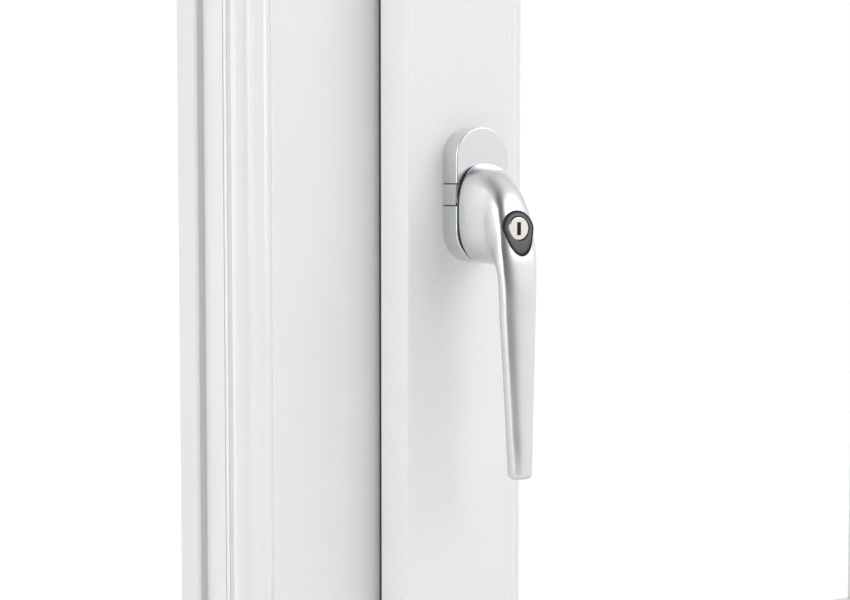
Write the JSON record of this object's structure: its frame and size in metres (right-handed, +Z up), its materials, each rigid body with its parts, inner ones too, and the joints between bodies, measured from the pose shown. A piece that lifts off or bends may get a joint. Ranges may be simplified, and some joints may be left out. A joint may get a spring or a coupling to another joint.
{
  "type": "window sash with crank handle",
  "caption": "Casement window: inward-opening sash with key-locking lever handle and espagnolette gear, beside a fixed light in one frame with a mullion.",
  "frame": {"origin": "middle of the frame's underside, at half the frame's depth", "axes": "+X to the right seen from the room, +Y from the room to the outside, +Z up"},
  "size_m": [0.88, 0.1526, 0.76],
  "materials": {
    "white_pvc": "smooth satin extruded white profile",
    "galvanised_steel": "zinc plated",
    "black_rubber": "matt black seal",
    "grey_rubber": "soft pale grey seal",
    "clear_glass": "clear float glass",
    "spacer_aluminium": "mill finish",
    "black_plastic": "fine satin black",
    "white_plastic": "moulded white",
    "block_plastic": "moulded polypropylene",
    "satin_silver": "satin silver, fine blasted",
    "plug_metal": "satin nickel",
    "zinc_steel": "bright zinc",
    "spring_steel": "oiled spring steel",
    "painted_white": "white powder coat",
    "sintered_steel": "sintered steel",
    "nylon": "natural nylon"
  },
  "bodies": {
    "frame": {"outer_frame": "white_pvc", "frame_reinforcement": "galvanised_steel", "mullion": "white_pvc", "mullion_reinforcement": "galvanised_steel", "drain_caps": "white_plastic", "frame_rebate_gasket": "black_rubber", "keeps": "zinc_steel", "keep_screws": "zinc_steel", "hinge_frame_leaves": "painted_white", "hinge_pins": "spring_steel", "hinge_caps": "painted_white", "hinge_frame_screws": "zinc_steel", "fixed_bead_bottom": "white_pvc", "fixed_bead_gasket": "grey_rubber", "fixed_bead_left": "white_pvc", "fixed_bead_right": "white_pvc", "fixed_bead_top": "white_pvc", "fixed_edge_seal": "grey_rubber", "fixed_glazing_blocks": "block_plastic", "fixed_inner_pane": "clear_glass", "fixed_outer_gasket": "grey_rubber", "fixed_outer_pane": "clear_glass", "fixed_spacer_bar": "white_plastic"},
    "sash": {"sash_profile": "white_pvc", "sash_reinforcement": "galvanised_steel", "sash_overlap_gasket": "black_rubber", "hinge_sash_leaves": "painted_white", "hinge_bushes": "nylon", "hinge_sash_screws": "zinc_steel", "faceplate": "zinc_steel", "faceplate_screws": "zinc_steel", "gear_case": "zinc_steel", "gear_case_cover": "zinc_steel", "rose_base": "satin_silver", "rose_upper_cover": "satin_silver", "rose_lower_cover": "satin_silver", "handle_screws": "zinc_steel", "wave_washer": "spring_steel", "sash_bead_bottom": "white_pvc", "sash_bead_gasket": "grey_rubber", "sash_bead_left": "white_pvc", "sash_bead_right": "white_pvc", "sash_bead_top": "white_pvc", "sash_edge_seal": "grey_rubber", "sash_glazing_blocks": "block_plastic", "sash_inner_pane": "clear_glass", "sash_outer_gasket": "grey_rubber", "sash_outer_pane": "clear_glass", "sash_spacer_bar": "white_plastic"},
    "handle": {"lever": "satin_silver", "spindle": "zinc_steel", "drive_pinion": "sintered_steel", "detent_ring": "nylon", "lock_housing": "black_plastic", "pin_spring": "spring_steel"},
    "drive_rod": {"drive_rod": "zinc_steel", "locking_cams": "sintered_steel"},
    "key_plug": {"key_plug": "plug_metal", "lock_cam": "sintered_steel"},
    "lock_pin": {"lock_pin": "nylon"}
  },
  "joints": [
    {"name": "sash_swing", "type": "hinge", "parent": "frame", "child": "sash", "pos_m": [0.4, -0.056, 0.38], "axis": [0, 0, 1], "range_deg": [0, 90]},
    {"name": "handle_turn", "type": "hinge", "parent": "sash", "child": "handle", "pos_m": [-0.0145, -0.064, 0.38], "axis": [0, -1, 0], "range_deg": [0, 90]},
    {"name": "rod_slide", "type": "slide", "parent": "sash", "child": "drive_rod", "axis": [0, 0, -1], "range_m": [0, 0.0152]},
    {"name": "key_turn", "type": "hinge", "parent": "handle", "child": "key_plug", "pos_m": [-0.0145, -0.104, 0.364], "axis": [0, -1, 0], "range_deg": [0, 90]},
    {"name": "pin_slide", "type": "slide", "parent": "handle", "child": "lock_pin", "axis": [0, 1, 0], "range_m": [0, 0.0024]}
  ],
  "couplings": [
    {"joint": "rod_slide", "follows": "handle_turn", "m_per_rad": 0.0096},
    {"joint": "pin_slide", "follows": "key_turn", "m_per_rad": 0.0015}
  ]
}
